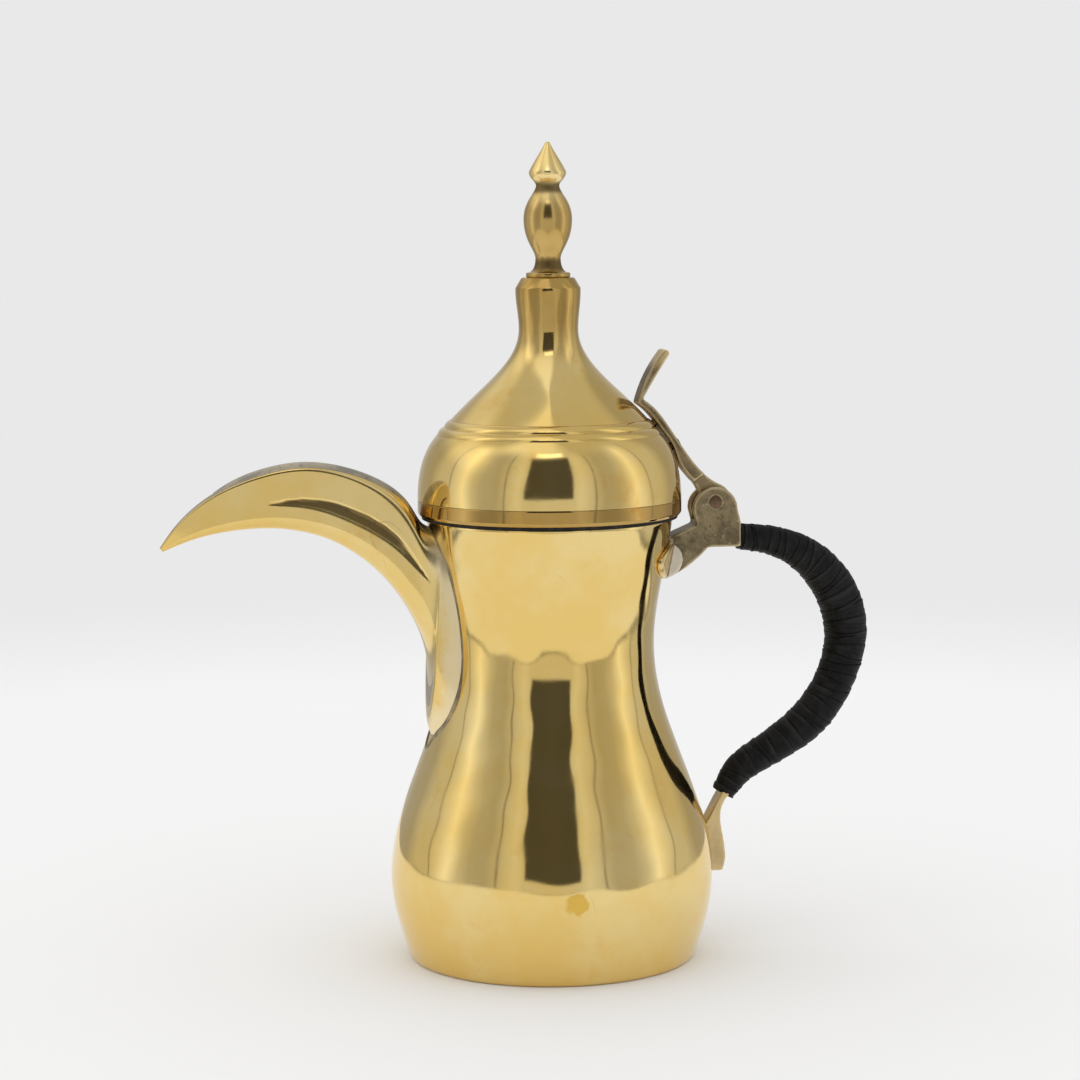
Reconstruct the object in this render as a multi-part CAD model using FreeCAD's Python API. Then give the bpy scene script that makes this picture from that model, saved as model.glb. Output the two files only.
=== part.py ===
"""Brass coffee pot with a beak spout, a leather-wound handle and a hinged bell lid.

Millimetres. The origin is the middle of the flat underside. +Z is up, the spout
points along -X and the handle along +X.
"""
import FreeCAD
import Part
import math
import os

V = FreeCAD.Vector
UP = V(0, 0, 1)
SIDE = V(0, 1, 0)

# Sheet metal and clearances
wall = 1.2
solder_gap = 0.05
running_gap = 0.06
leaf_gap = 0.35
seat_gap = 0.3

# Body: radii and heights of the pear-shaped vessel
base_disc_radius = 44.0
foot_radius = 49.6
foot_wall_radius = 53.9
foot_height = 3.5
foot_slope = 0.36
belly_radius = 59.6
belly_height = 31.0
waist_radius = 38.1
waist_height = 115.0
rim_radius = 45.2
rim_height = 163.0
rim_slope = 0.16
seam_height = 75.0

# Pouring window in the neck behind the spout
window_width = 14.0
window_length = 35.0
window_drop = 11.0

# Spout: distance out from the rim and height over the rim of the keel and of the
# top edge, then half-widths at the cheek and at the top edge, from the tip inwards
spout_stations = (
    (96.2, -9.2, 97.2, -7.8, 0.9, 0.6),
    (84.4, -4.8, 90.0, 1.4, 2.6, 2.2),
    (71.0, -2.2, 77.5, 11.2, 4.1, 3.6),
    (56.0, -1.6, 59.5, 18.4, 5.2, 4.5),
    (42.0, -4.0, 42.0, 20.5, 5.9, 5.0),
    (30.0, -9.2, 25.5, 17.0, 6.8, 5.2),
    (18.2, -18.4, 13.4, 11.0, 8.2, 5.2),
    (8.6, -30.6, 6.4, 4.0, 10.2, 5.0),
    (1.8, -45.6, 2.0, -2.6, 12.2, 4.8),
    (0.0, -62.0, -2.6, -4.4, 13.8, 4.5),
    (0.2, -77.0, -7.0, -5.2, 14.9, 4.2),
    (-8.0, -89.0, -22.0, -6.0, 15.7, 3.8),
)
spout_mouth_index = 2
spout_channel_index = 1
spout_cover_rise = 1.7
spout_keel_share = 0.45
spout_shoulder_share = 1.5
spout_channel_lift = 4.0

# Lid: band, dome, two raised rings, chimney and collar
band_radius = 48.4
lid_lift = 1.4
band_height = 5.9
band_wall = 1.4
band_taper = 1.1
dome_height = 23.6
dome_full_height = 10.0
ring_low_radius = 41.0
ring_top_radius = 36.0
ring_rise = 5.4
ring_swell = 0.45
chimney_radius = 10.85
chimney_height = 62.0
cone_reach = 18.0
chimney_reach = 12.0
collar_radius = 11.9
collar_height = 75.5
lid_top_radius = 9.5
lid_top_height = 80.6
lid_top_thickness = 1.5

# Ring inside the lid that sits on the rim and reaches into the neck
sleeve_top_radius = 42.6
sleeve_foot_radius = 41.6
sleeve_depth = 8.0
seat_upstand = 9.0

# Finial
finial_flange_radius = 8.1
finial_flange_height = 1.7
finial_low_neck_radius = 4.6
finial_low_neck_height = 6.8
finial_bulb_radius = 8.85
finial_bulb_height = 21.0
bulb_fullness = 1.12
neck_ease = 0.42
finial_high_neck_radius = 4.25
finial_high_neck_height = 33.2
finial_cone_radius = 6.8
finial_cone_height = 38.0
finial_tip_radius = 0.9
finial_height = 49.0
stud_radius = 2.4
stud_length = 8.5
washer_radius = 6.5
washer_thickness = 1.2
nut_across_flats = 8.0
nut_height = 3.6

# Hinge
hinge_reach = 12.6
hinge_rise = 5.0
pin_radius = 2.1
ear_radius = 8.4
ear_drop = 2.9
fork_width = 12.0
leaf_width = 5.6
knuckle_radius = 6.6
leaf_reach = 10.6
strap_width = 10.0
strap_thickness = 2.8
strap_stand_off = 0.35
strap_leave_rise = 12.0
strap_flare = 2.2
strap_arch = 0.7
kink_rise = 6.0
thumb_length = 22.5
thumb_lean = 26.0
thumb_bow = 1.1
rivet_radius = 1.5
rivet_head_radius = 2.6
rivet_head_height = 0.9

# Handle
bracket_length = 9.5
socket_height = 9.6
bracket_drop = 7.2
foot_width = 24.0
foot_length = 13.0
foot_depth = 5.2
foot_drop = 8.9
saddle_width = 46.0
saddle_length = 15.5
saddle_thickness = 2.2
tail_width = 9.0
tail_bottom = 29.4
tail_length = 22.0
tail_thickness = 4.3
core_share = 0.62
core_end_radius = 2.6
strip_thickness = 1.0
strip_gap = 0.62
strip_bed_gap = 0.5
strip_turns = 24
strip_facets = 12
grip_drop = 1.6
grip_end_rise = 6.5
grip_end_offset = 4.2
# Share of the way from the grip's upper end to its lower end, bulge away from that
# line, and outside radius of the wound grip
grip_stations = (
    (0.0, 0.0, 4.75),
    (0.0215, 16.9, 5.7),
    (0.129, 33.7, 7.5),
    (0.333, 43.2, 8.0),
    (0.52, 41.0, 7.4),
    (0.694, 31.6, 7.3),
    (0.843, 13.4, 6.1),
    (0.913, 5.0, 5.5),
    (1.0, 0.0, 4.2),
)


def point(x, z, y=0.0):
    return V(x, y, z)


def edge(*points):
    """Straight edge for two points, arc for three, cubic curve for four."""
    if len(points) == 2:
        return Part.LineSegment(*points).toShape()
    if len(points) == 3:
        return Part.Arc(*points).toShape()
    curve = Part.BezierCurve()
    curve.setPoles(list(points))
    return curve.toShape()


def chain(points):
    return [edge(a, b) for a, b in zip(points, points[1:])]


def smooth(points):
    curve = Part.BSplineCurve()
    curve.interpolate(points)
    return curve.toShape()


def face_of(edges):
    return Part.Face(Part.Wire(Part.sortEdges(edges)[0]))


def turned(edges):
    """Solid of revolution about Z from the closed outline of its half section."""
    return face_of(edges).revolve(V(0, 0, 0), UP, 360)


def across(edges, width):
    """Plate of the given width, its outline in the XZ plane and centred on it."""
    plate = face_of(edges).extrude(SIDE * width)
    plate.translate(SIDE * (-width / 2))
    return plate


def flow(a, b):
    """Cubic through two (radius, height, slope) knots, even in height."""
    rise = (b[1] - a[1]) / 3
    return (point(a[0], a[1]), point(a[0] + a[2] * rise, a[1] + rise),
            point(b[0] - b[2] * rise, b[1] - rise), point(b[0], b[1]))


def at_share(poles, t):
    """Point and direction of a four-pole curve at a share t of its course."""
    a, b, c, d = poles
    s = 1 - t
    place = a * s**3 + b * (3 * s * s * t) + c * (3 * s * t * t) + d * t**3
    run = (b - a) * (s * s) + (c - b) * (2 * s * t) + (d - c) * (t * t)
    return place, run.normalize()


def at_height(poles, z):
    """Point and direction where a rising curve passes the height z."""
    low, high = 0.0, 1.0
    for _ in range(40):
        middle = (low + high) / 2
        if at_share(poles, middle)[0].z < z:
            low = middle
        else:
            high = middle
    return at_share(poles, low)


# Body

body_knots = (
    (foot_wall_radius, foot_height, foot_slope),
    (belly_radius, belly_height, 0.0),
    (waist_radius, waist_height, 0.0),
    (rim_radius, rim_height, rim_slope),
)
body_curves = [flow(a, b) for a, b in zip(body_knots, body_knots[1:])]


def body_radius(z):
    for poles in body_curves:
        if z <= poles[3].z:
            break
    return at_height(poles, z)[0].x


def vessel(inset, floor, top):
    """Solid inside the body's wall, inset from its outside."""
    slip = V(-inset, 0, 0)
    curves = [tuple(p + slip for p in poles) for poles in body_curves]
    first = curves[0][0]
    last = curves[-1][3]
    foot = point(foot_radius - inset / 2, floor)
    corner = point(first.x - foot_slope * (foot_height - floor), floor)
    edges = [edge(point(0, floor), foot), edge(foot, corner, corner, first)]
    edges += [edge(*poles) for poles in curves]
    if top > last.z:
        edges.append(edge(last, point(last.x, top)))
    edges.append(edge(point(last.x, top), point(0, top)))
    edges.append(edge(point(0, top), point(0, floor)))
    return turned(edges)


body_form = vessel(0.0, 0.0, rim_height)
body_hollow = vessel(wall, wall, rim_height + wall)


def pouring_window():
    half = window_width / 2
    high = rim_height - window_drop - half
    low = high - window_length + window_width
    outline = [
        edge(V(0, -half, low), V(0, -half, high)),
        edge(V(0, -half, high), V(0, 0, high + half), V(0, half, high)),
        edge(V(0, half, high), V(0, half, low)),
        edge(V(0, half, low), V(0, 0, low - half), V(0, -half, low)),
    ]
    return face_of(outline).extrude(V(-rim_radius - wall, 0, 0))


def rivet(place, direction, length, head_radius, grow=0.0):
    """Shank along the direction from a head that lies behind the place."""
    shank = Part.makeCylinder(rivet_radius + grow, length, place, direction)
    if grow:
        return shank
    head = Part.makeCylinder(head_radius, rivet_head_height, place - direction * rivet_head_height, direction)
    return shank.fuse(head).removeSplitter()


# Rivets of the handle: from inside the vessel, square to its wall

foot_top = rim_height - foot_drop
foot_bottom = foot_top - foot_length
foot_centre_height = (foot_top + foot_bottom) / 2
foot_rivet_heights = (foot_centre_height - foot_length / 4, foot_centre_height + foot_length / 4)
tail_rivet_height = tail_bottom + tail_length / 3


def wall_rivet(z, depth, grow=0.0):
    """Rivet along X whose head clears the wall's curve all round."""
    narrow = min(body_radius(z - rivet_head_radius), body_radius(z + rivet_head_radius)) - wall
    head_x = math.sqrt(narrow**2 - rivet_head_radius**2) - solder_gap
    length = body_radius(z) + depth - head_x
    return rivet(point(head_x, z), V(1, 0, 0), length, rivet_head_radius, grow)


foot_rivet_depth = foot_depth + wall
tail_rivet_depth = tail_thickness - wall
foot_rivet_holes = [wall_rivet(z, foot_rivet_depth + solder_gap, solder_gap) for z in foot_rivet_heights]
tail_rivet_hole = wall_rivet(tail_rivet_height, tail_rivet_depth + solder_gap, solder_gap)
foot_rivets = Part.makeCompound([wall_rivet(z, foot_rivet_depth) for z in foot_rivet_heights])
tail_rivet = wall_rivet(tail_rivet_height, tail_rivet_depth)

base_disc = Part.makeCylinder(base_disc_radius, wall)
disc_seat = Part.makeCylinder(base_disc_radius + solder_gap, wall)
vessel_wall = body_form.cut([body_hollow, disc_seat, pouring_window(), tail_rivet_hole] + foot_rivet_holes)
belly_zone = Part.makeCylinder(2 * belly_radius, seam_height)
neck_zone = Part.makeCylinder(2 * belly_radius, rim_height, V(0, 0, seam_height + solder_gap))
belly_shell = vessel_wall.common(belly_zone)
neck_shell = vessel_wall.common(neck_zone)

# Spout


def spout_section(station, inset=0.0, lift=0.0):
    """Section of the beak: round keel, upright cheeks, shoulders rounded in to the top edge."""
    keel_out, keel_rise, top_out, top_rise, cheek, top_half = station
    keel = point(-rim_radius - keel_out, rim_height + keel_rise)
    top = point(-rim_radius - top_out, rim_height + top_rise)
    rise = (top - keel).normalize()
    height = (top - keel).Length
    half = SIDE * (cheek - inset)
    lip = SIDE * (top_half - inset)
    low = keel + rise * inset
    bend = keel + rise * min(cheek, spout_keel_share * height)
    crown = top - rise * inset
    shoulder = crown - rise * (spout_shoulder_share * (cheek - top_half))
    quarter = low + (bend - low) * (1 - math.sqrt(0.5))
    eighth = shoulder + (crown - shoulder) * math.sqrt(0.5)
    quarter_half = half * math.sqrt(0.5)
    eighth_half = lip + (half - lip) * math.sqrt(0.5)
    edges = [
        edge(crown + lip, eighth + eighth_half, shoulder + half),
        edge(shoulder + half, bend + half),
        edge(bend + half, quarter + quarter_half, low),
        edge(low, quarter - quarter_half, bend - half),
        edge(bend - half, shoulder - half),
        edge(shoulder - half, eighth - eighth_half, crown - lip),
    ]
    if not lift:
        return Part.Wire([edge(crown - lip, crown + lip)] + edges)
    high = top + rise * lift
    return Part.Wire(chain([crown - lip, high - lip, high + lip, crown + lip]) + edges)


def cover_section(station):
    """Domed top over the lips of the beak, drawn down to a point at its keel."""
    keel_out, keel_rise, top_out, top_rise, _, top_half = station
    keel = point(-rim_radius - keel_out, rim_height + keel_rise)
    top = point(-rim_radius - top_out, rim_height + top_rise)
    rise = (top - keel).normalize()
    lip = SIDE * top_half
    foot = top + rise * solder_gap
    crown = foot + rise * spout_cover_rise
    shoulder = foot + rise * (spout_cover_rise * 0.8)
    near_arc = edge(foot - lip, shoulder - lip * 0.5, crown)
    far_arc = edge(crown, shoulder + lip * 0.5, foot + lip)
    return Part.Wire([near_arc, far_arc] + chain([foot + lip, keel, foot - lip]))


def cover_bed_section(station):
    """Wedge under the cover, wider than it, that ends at the foot of the cover."""
    keel_out, keel_rise, top_out, top_rise, cheek, top_half = station
    keel = point(-rim_radius - keel_out, rim_height + keel_rise)
    top = point(-rim_radius - top_out, rim_height + top_rise)
    rise = (top - keel).normalize()
    lip = SIDE * (cheek + top_half)
    foot = top + rise * solder_gap
    return Part.Wire(chain([foot - lip, foot + lip, keel - rise * cheek, foot - lip]))


beak_form = Part.makeLoft([spout_section(s) for s in spout_stations], True)
channel = Part.makeLoft(
    [spout_section(s, wall, spout_channel_lift) for s in spout_stations[spout_channel_index:]], True)
spout_beak = beak_form.cut([channel, body_form])
covered = spout_stations[spout_mouth_index:]
cover_bed = Part.makeLoft([cover_bed_section(s) for s in covered], True)
cover_blank = Part.makeLoft([cover_section(s) for s in covered], True)
spout_cover = max(cover_blank.cut([cover_bed, beak_form, body_form]).Solids, key=lambda solid: solid.Volume)

# Lid

band_bottom = rim_height + lid_lift
band_top = band_bottom + band_height
strap_leave_height = band_top + strap_leave_rise
lid_bore = band_radius - band_wall
dome_foot = band_top + solder_gap
ring_foot = point(ring_low_radius, band_top + dome_height)
ring_head = point(ring_top_radius, ring_foot.z + ring_rise)
ring_run = (ring_head - ring_foot).normalize()
neck = point(chimney_radius, band_top + chimney_height)
collar = point(collar_radius, band_top + collar_height)
lid_top = band_top + lid_top_height
collar_edge = point(collar_radius, (collar.z + lid_top) / 2 - wall)
dome_curve = (point(band_radius, dome_foot), point(band_radius, dome_foot + dome_full_height),
              ring_foot - ring_run * (dome_full_height * 0.7), ring_foot)
cone_curve = (ring_head, ring_head + ring_run * cone_reach,
              neck - UP * chimney_reach, neck)
collar_curve = (neck, neck + UP * ((collar.z - neck.z) / 3),
                collar - UP * ((collar.z - neck.z) / 3), collar)


def raised_ring(a, b):
    out = V(ring_run.z, 0, -ring_run.x)
    return edge(a, (a + b) * 0.5 + out * ring_swell, b)


def lid_shell():
    ring_middle = (ring_foot + ring_head) * 0.5
    outside = [edge(*dome_curve), raised_ring(ring_foot, ring_middle), raised_ring(ring_middle, ring_head)]
    outside += [edge(*cone_curve), edge(*collar_curve)]
    outside += chain([collar, collar_edge, point(lid_top_radius, lid_top)])
    slip = V(-wall * ring_run.z, 0, wall * ring_run.x)
    inner_foot = ring_foot + slip
    inner_head = ring_head + slip
    inner_neck = neck - V(wall, 0, 0)
    inner_top = collar - V(wall, 0, 0)
    ceiling = lid_top - lid_top_thickness
    dome_inside = (point(lid_bore, dome_foot), point(lid_bore, dome_foot + dome_full_height),
                   inner_foot - ring_run * (dome_full_height * 0.7), inner_foot)
    cone_inside = (inner_head, inner_head + ring_run * cone_reach,
                   inner_neck - UP * chimney_reach, inner_neck)
    stud_hole = stud_radius + solder_gap
    inside = [edge(*dome_inside), edge(inner_foot, inner_head), edge(*cone_inside)]
    inside += chain([inner_neck, inner_top, point(lid_top_radius - wall, ceiling), point(stud_hole, ceiling)])
    closing = chain([point(stud_hole, ceiling), point(stud_hole, lid_top), point(lid_top_radius, lid_top)])
    foot = edge(point(lid_bore, dome_foot), point(band_radius, dome_foot))
    return turned(outside + inside + closing + [foot])


def band_ring():
    taper_top = band_bottom + band_taper
    return turned(chain([
        point(lid_bore, band_bottom), point(band_radius - band_taper / 2, band_bottom),
        point(band_radius, taper_top), point(band_radius, band_top),
        point(lid_bore, band_top), point(lid_bore, band_bottom)]))


def seat_ring():
    outer = lid_bore - solder_gap
    flange = rim_height + seat_gap
    flange_top = flange + wall
    sleeve_foot = rim_height - sleeve_depth
    return turned(chain([
        point(sleeve_foot_radius - wall, sleeve_foot), point(sleeve_foot_radius, sleeve_foot),
        point(sleeve_top_radius, flange), point(outer, flange),
        point(outer, flange + seat_upstand), point(outer - wall, flange + seat_upstand),
        point(outer - wall, flange_top), point(sleeve_top_radius - wall, flange_top),
        point(sleeve_foot_radius - wall, sleeve_foot)]))


# Finial with its stud, washer and nut


def finial_knob():
    foot = lid_top + solder_gap
    flange = point(finial_flange_radius, foot + finial_flange_height)
    low_neck = point(finial_low_neck_radius, foot + finial_low_neck_height)
    bulb = point(finial_bulb_radius, foot + finial_bulb_height)
    high_neck = point(finial_high_neck_radius, foot + finial_high_neck_height)
    cone = point(finial_cone_radius, foot + finial_cone_height)
    tip = point(finial_tip_radius, foot + finial_height)
    stud_foot = foot - lid_top_thickness - stud_length
    low_rise = UP * ((low_neck.z - flange.z) / 2)
    bulb_rise = UP * ((bulb.z - low_neck.z) / 2)
    high_rise = UP * ((high_neck.z - bulb.z) / 2)
    cone_rise = UP * ((cone.z - high_neck.z) / 2)
    edges = chain([point(0, stud_foot), point(stud_radius, stud_foot), point(stud_radius, foot),
                   point(finial_flange_radius, foot), flange])
    edges.append(edge(flange, flange - V(low_rise.z, 0, 0), low_neck - low_rise, low_neck))
    edges.append(edge(low_neck, low_neck + bulb_rise * neck_ease, bulb - bulb_rise * bulb_fullness, bulb))
    edges.append(edge(bulb, bulb + high_rise * bulb_fullness, high_neck - high_rise * neck_ease, high_neck))
    edges.append(edge(high_neck, high_neck + cone_rise * 0.6, cone - cone_rise, cone))
    edges += chain([cone, tip, point(0, tip.z), point(0, stud_foot)])
    return turned(edges)


def drilled(solid, z, height):
    return solid.cut(Part.makeCylinder(stud_radius + solder_gap, height, V(0, 0, z)))


washer_top = lid_top - lid_top_thickness - solder_gap
washer_foot = washer_top - washer_thickness
nut_foot = washer_foot - solder_gap - nut_height
finial_washer = drilled(Part.makeCylinder(washer_radius, washer_thickness, V(0, 0, washer_foot)),
                        washer_foot, washer_thickness)
nut_corner = nut_across_flats / math.sqrt(3)
nut_corners = [V(nut_corner * math.cos(k * math.pi / 3), nut_corner * math.sin(k * math.pi / 3), nut_foot)
               for k in range(7)]
finial_nut = drilled(face_of(chain(nut_corners)).extrude(UP * nut_height), nut_foot, nut_height)

# Hinge: strap, rivets and pin

pivot = point(band_radius + hinge_reach, rim_height + hinge_rise)


def lid_outside(z):
    """Point and outward normal on the lid's outside at a height, rings left out."""
    if z < ring_foot.z:
        place, run = at_height(dome_curve, z)
    elif z < ring_head.z:
        place, run = ring_foot + ring_run * ((z - ring_foot.z) / ring_run.z), ring_run
    else:
        place, run = at_height(cone_curve, z)
    return place, V(run.z, 0, -run.x)


kink_height = ring_head.z + kink_rise


def strap_arm():
    """Arm that leaves the knuckle, lies along the dome and bends up as a thumb rest."""
    dome_middle = (strap_leave_height + ring_foot.z) / 2
    heights = [strap_leave_height, dome_middle, ring_foot.z, ring_head.z, kink_height - strap_thickness / 2]
    arches = [0.0, 0.0, 0.0, strap_arch, 0.0]
    inner = []
    outer = []
    for z, arch in zip(heights, arches):
        place, out = lid_outside(z)
        inner.append(place + out * (strap_stand_off + ring_swell + arch))
        outer.append(inner[-1] + out * strap_thickness)
    lean = math.radians(thumb_lean)
    run = V(math.sin(lean), 0, math.cos(lean))
    out = V(run.z, 0, -run.x)
    back = out * strap_thickness
    elbow = inner[-1]
    bow = elbow + run * (thumb_length / 2) - out * thumb_bow
    tip = elbow + run * (thumb_length - strap_thickness / 2)
    tip_end = elbow + run * thumb_length + back * 0.5
    knuckle_out = pivot + V(knuckle_radius * 0.28, 0, knuckle_radius * 0.96)
    knuckle_in = pivot + V(-knuckle_radius * 0.8, 0, -knuckle_radius * 0.6)
    crotch = pivot + V(-leaf_reach * 0.64, 0, leaf_reach * 0.55)
    pinch = outer[-1] + (out - run) * 0.2
    outer_line = smooth([knuckle_out, outer[0] + V(strap_flare, 0, 0)] + outer[1:-1] + [pinch])
    inner_line = smooth([knuckle_in, crotch] + inner)
    knuckle = edge(knuckle_out, pivot + V(knuckle_radius * 0.6, 0, -knuckle_radius * 0.8), knuckle_in)
    rest = [edge(elbow, bow, tip), edge(tip, tip_end, tip + back), edge(tip + back, bow + back, pinch)]
    return [knuckle, inner_line, outer_line] + rest


strap_blank = across(strap_arm(), strap_width)
leaf_zone = Part.makeCylinder(leaf_reach, strap_width, pivot - SIDE * (strap_width / 2), SIDE)
leaf_core = Part.makeCylinder(leaf_reach, leaf_width, pivot - SIDE * (leaf_width / 2), SIDE)
pin_bore = Part.makeCylinder(pin_radius + running_gap, fork_width, pivot - SIDE * (fork_width / 2), SIDE)
strap_rivet_heights = ((strap_leave_height + ring_foot.z) / 2, (ring_foot.z + ring_head.z) / 2)


def strap_rivet(z, grow=0.0):
    place, out = lid_outside(z)
    inner = place - out * (wall + solder_gap + rivet_head_radius * 0.06)
    length = wall + ring_swell + strap_stand_off + strap_arch + strap_thickness
    return rivet(inner, out, length, rivet_head_radius, grow)


strap_rivet_holes = [strap_rivet(z, solder_gap) for z in strap_rivet_heights]
strap_rivets = Part.makeCompound([strap_rivet(z) for z in strap_rivet_heights])
hinge_strap = strap_blank.cut(leaf_zone.cut(leaf_core)).cut([pin_bore] + strap_rivet_holes)
lid_dome = lid_shell().cut(strap_rivet_holes)
hinge_pin = Part.makeCylinder(pin_radius, fork_width, pivot - SIDE * (fork_width / 2), SIDE)

# Handle casting: foot, fork, core and tail

ear_centre = pivot - UP * ear_drop
socket_x = pivot.x + bracket_length
socket_top = pivot.z - bracket_drop
socket_bottom = socket_top - socket_height


def bracket():
    """Plate from the neck to the fork's ears and the socket of the grip."""
    ear_left = ear_centre - V(ear_radius, 0, 0)
    ear_right = ear_centre + V(ear_radius, 0, 0)
    inside = body_radius(foot_centre_height) - wall
    root = body_radius(foot_bottom)
    crook = point(root + foot_depth + 2 * ear_drop, foot_bottom + foot_length / 3)
    arch_end = point(pivot.x - ear_radius / 3, socket_bottom)
    neck_side = point(body_radius(foot_top) + 2 * foot_depth, (foot_top + ear_left.z) / 2)
    return [
        edge(ear_left, ear_centre + UP * ear_radius, ear_right),
        edge(ear_right, point(socket_x, socket_top)),
        edge(point(socket_x, socket_top), point(socket_x, socket_bottom)),
        edge(point(socket_x, socket_bottom), arch_end),
        edge(arch_end, crook, point(root + foot_depth * 0.8, foot_bottom)),
        edge(point(root + foot_depth * 0.8, foot_bottom), point(inside, foot_bottom)),
        edge(point(inside, foot_bottom), point(inside, foot_top)),
        edge(point(inside, foot_top), neck_side),
        edge(neck_side, ear_left),
    ]


def foot_pad():
    """Saddle against the neck, rounded at its top and bottom."""
    middle = body_radius(foot_centre_height)
    out = point(middle + foot_depth, foot_centre_height)
    low = point(body_radius(foot_bottom) - wall, foot_bottom)
    high = point(body_radius(foot_top) - wall, foot_top)
    return across([edge(low, out, high), edge(high, low)], foot_width)


def saddle():
    """Thin oval flange of the foot that follows the neck's curve."""
    centre = V(0, 0, foot_centre_height)
    oval = Part.Ellipse(centre + SIDE * (saddle_width / 2), centre + UP * (saddle_length / 2), centre)
    reach = V(rim_radius + foot_depth, 0, 0)
    return vessel(-saddle_thickness, 0.0, rim_height).common(face_of([oval.toShape()]).extrude(reach))


tail_top = tail_bottom + tail_length
grip_start = point(socket_x, (socket_top + socket_bottom) / 2 - grip_drop)
grip_end = point(body_radius(tail_top) + grip_end_offset + tail_thickness, tail_top + grip_end_rise)
grip_run = grip_end - grip_start
grip_out = V(-grip_run.z, 0, grip_run.x).normalize()
grip_points = [grip_start + grip_run * share + grip_out * bulge for share, bulge, _ in grip_stations]
grip_curve = Part.BSplineCurve()
grip_curve.interpolate(grip_points)
grip_edge = grip_curve.toShape()
grip_length = grip_edge.Length
station_runs = [grip_curve.length(grip_curve.FirstParameter, grip_curve.parameter(p)) for p in grip_points]
grip_circles = 24


def grip_radius(run):
    """Outside radius of the wound grip at a length along it, eased between stations."""
    radii = [radius for _, _, radius in grip_stations]
    for k in range(len(radii) - 1):
        if run <= station_runs[k + 1]:
            break
    share = (run - station_runs[k]) / (station_runs[k + 1] - station_runs[k])
    share = min(max(share, 0.0), 1.0)
    ease = share * share * (3 - 2 * share)
    return radii[k] + (radii[k + 1] - radii[k]) * ease


def grip_frame(run):
    """Point, direction and outward normal of the grip's middle line."""
    u = grip_curve.parameterAtDistance(run, grip_curve.FirstParameter)
    course = grip_curve.tangent(u)[0]
    return grip_curve.value(u), course, V(-course.z, 0, course.x)


facet_share = math.cos(math.pi / strip_facets)


def padding_radius(run):
    return (grip_radius(run) - strip_thickness) * facet_share - strip_bed_gap


def core_radius(run):
    return core_share * padding_radius(run)


def grip_loft(radius_at, first, last):
    rings = []
    for k in range(grip_circles + 1):
        run = first + (last - first) * k / grip_circles
        place, course, _ = grip_frame(run)
        rings.append(Part.Wire(Part.makeCircle(radius_at(run), place, course)))
    return Part.makeLoft(rings, True)


def tail_plate():
    """Tail that leaves the grip and lies down the belly."""
    inside = belly_radius - 2 * wall
    tail_x = belly_radius + tail_thickness
    place, course, out = grip_frame(grip_length - strip_thickness)
    half = core_radius(grip_length)
    upper_out = place + out * half
    upper_in = place - out * half
    shoulder_out = point(body_radius(tail_top) + tail_thickness * 1.6, tail_top)
    shoulder_in = point(body_radius(tail_top - tail_length / 4) - wall, tail_top - tail_length / 4)
    middle_out = point(tail_x + wall / 2, tail_bottom + tail_length / 2)
    return [
        smooth([upper_out, shoulder_out, middle_out, point(tail_x, tail_bottom)]),
        edge(point(tail_x, tail_bottom), point(inside, tail_bottom)),
        edge(point(inside, tail_bottom), point(inside, shoulder_in.z)),
        edge(point(inside, shoulder_in.z), shoulder_in),
        edge(shoulder_in, upper_in),
        edge(upper_in, upper_out),
    ]


fork_slot = leaf_width + 2 * leaf_gap
slot_zone = Part.makeCylinder(leaf_reach + seat_gap, fork_slot, pivot - SIDE * (fork_slot / 2), SIDE)
slot_corner = point(pivot.x - 2 * ear_radius, pivot.z - knuckle_radius - seat_gap, -fork_slot / 2)
slot_below = Part.makeBox(4 * ear_radius, fork_slot, 4 * ear_radius, slot_corner)
pin_hole = Part.makeCylinder(pin_radius + solder_gap, fork_width, pivot - SIDE * (fork_width / 2), SIDE)
grip_core = grip_loft(core_radius, 0.0, grip_length)
bracket_plate = across(bracket(), fork_width).fuse([foot_pad(), saddle()])
tail = across(tail_plate(), tail_width)
handle_casting = bracket_plate.cut(slot_zone.common(slot_below)).fuse([grip_core, tail]).removeSplitter()
handle_casting = handle_casting.cut([body_form, pin_hole, tail_rivet_hole] + foot_rivet_holes)

grip_margin = strip_gap
padding_form = grip_loft(padding_radius, grip_margin, grip_length - grip_margin)
core_bore = grip_loft(lambda run: core_radius(run) + solder_gap, 0.0, grip_length)
grip_padding = padding_form.cut([core_bore, handle_casting])

# Winding: one flat strip, wound round the padding from the bracket to the tail

strip_pitch = (grip_length - 2 * grip_margin) / (strip_turns + 1)
strip_half = (strip_pitch - strip_gap) / 2
strip_start = grip_margin + strip_pitch / 2


def strip_corner(run, angle, outside):
    place, _, out = grip_frame(run)
    radius = grip_radius(run)
    if not outside:
        radius = radius - strip_thickness
    return place + (out * math.cos(angle) + SIDE * math.sin(angle)) * radius


def strip_section(k):
    """Corners of the strip's section after k facets of winding."""
    angle = 2 * math.pi * k / strip_facets
    run = strip_start + strip_pitch * k / strip_facets
    return [strip_corner(run - strip_half, angle, False), strip_corner(run + strip_half, angle, False),
            strip_corner(run + strip_half, angle, True), strip_corner(run - strip_half, angle, True)]


strip_sections = [strip_section(k) for k in range(strip_turns * strip_facets + 1)]
strip_least_gap = min((strip_sections[k + strip_facets][c] - strip_sections[k][d]).Length
                      for k in range(len(strip_sections) - strip_facets) for c, d in ((0, 1), (3, 2)))
print("least gap between turns of the winding, mm:", round(strip_least_gap, 3))
grip_winding = Part.makeLoft([Part.makePolygon(s + [s[0]]) for s in strip_sections], True, True)

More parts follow.
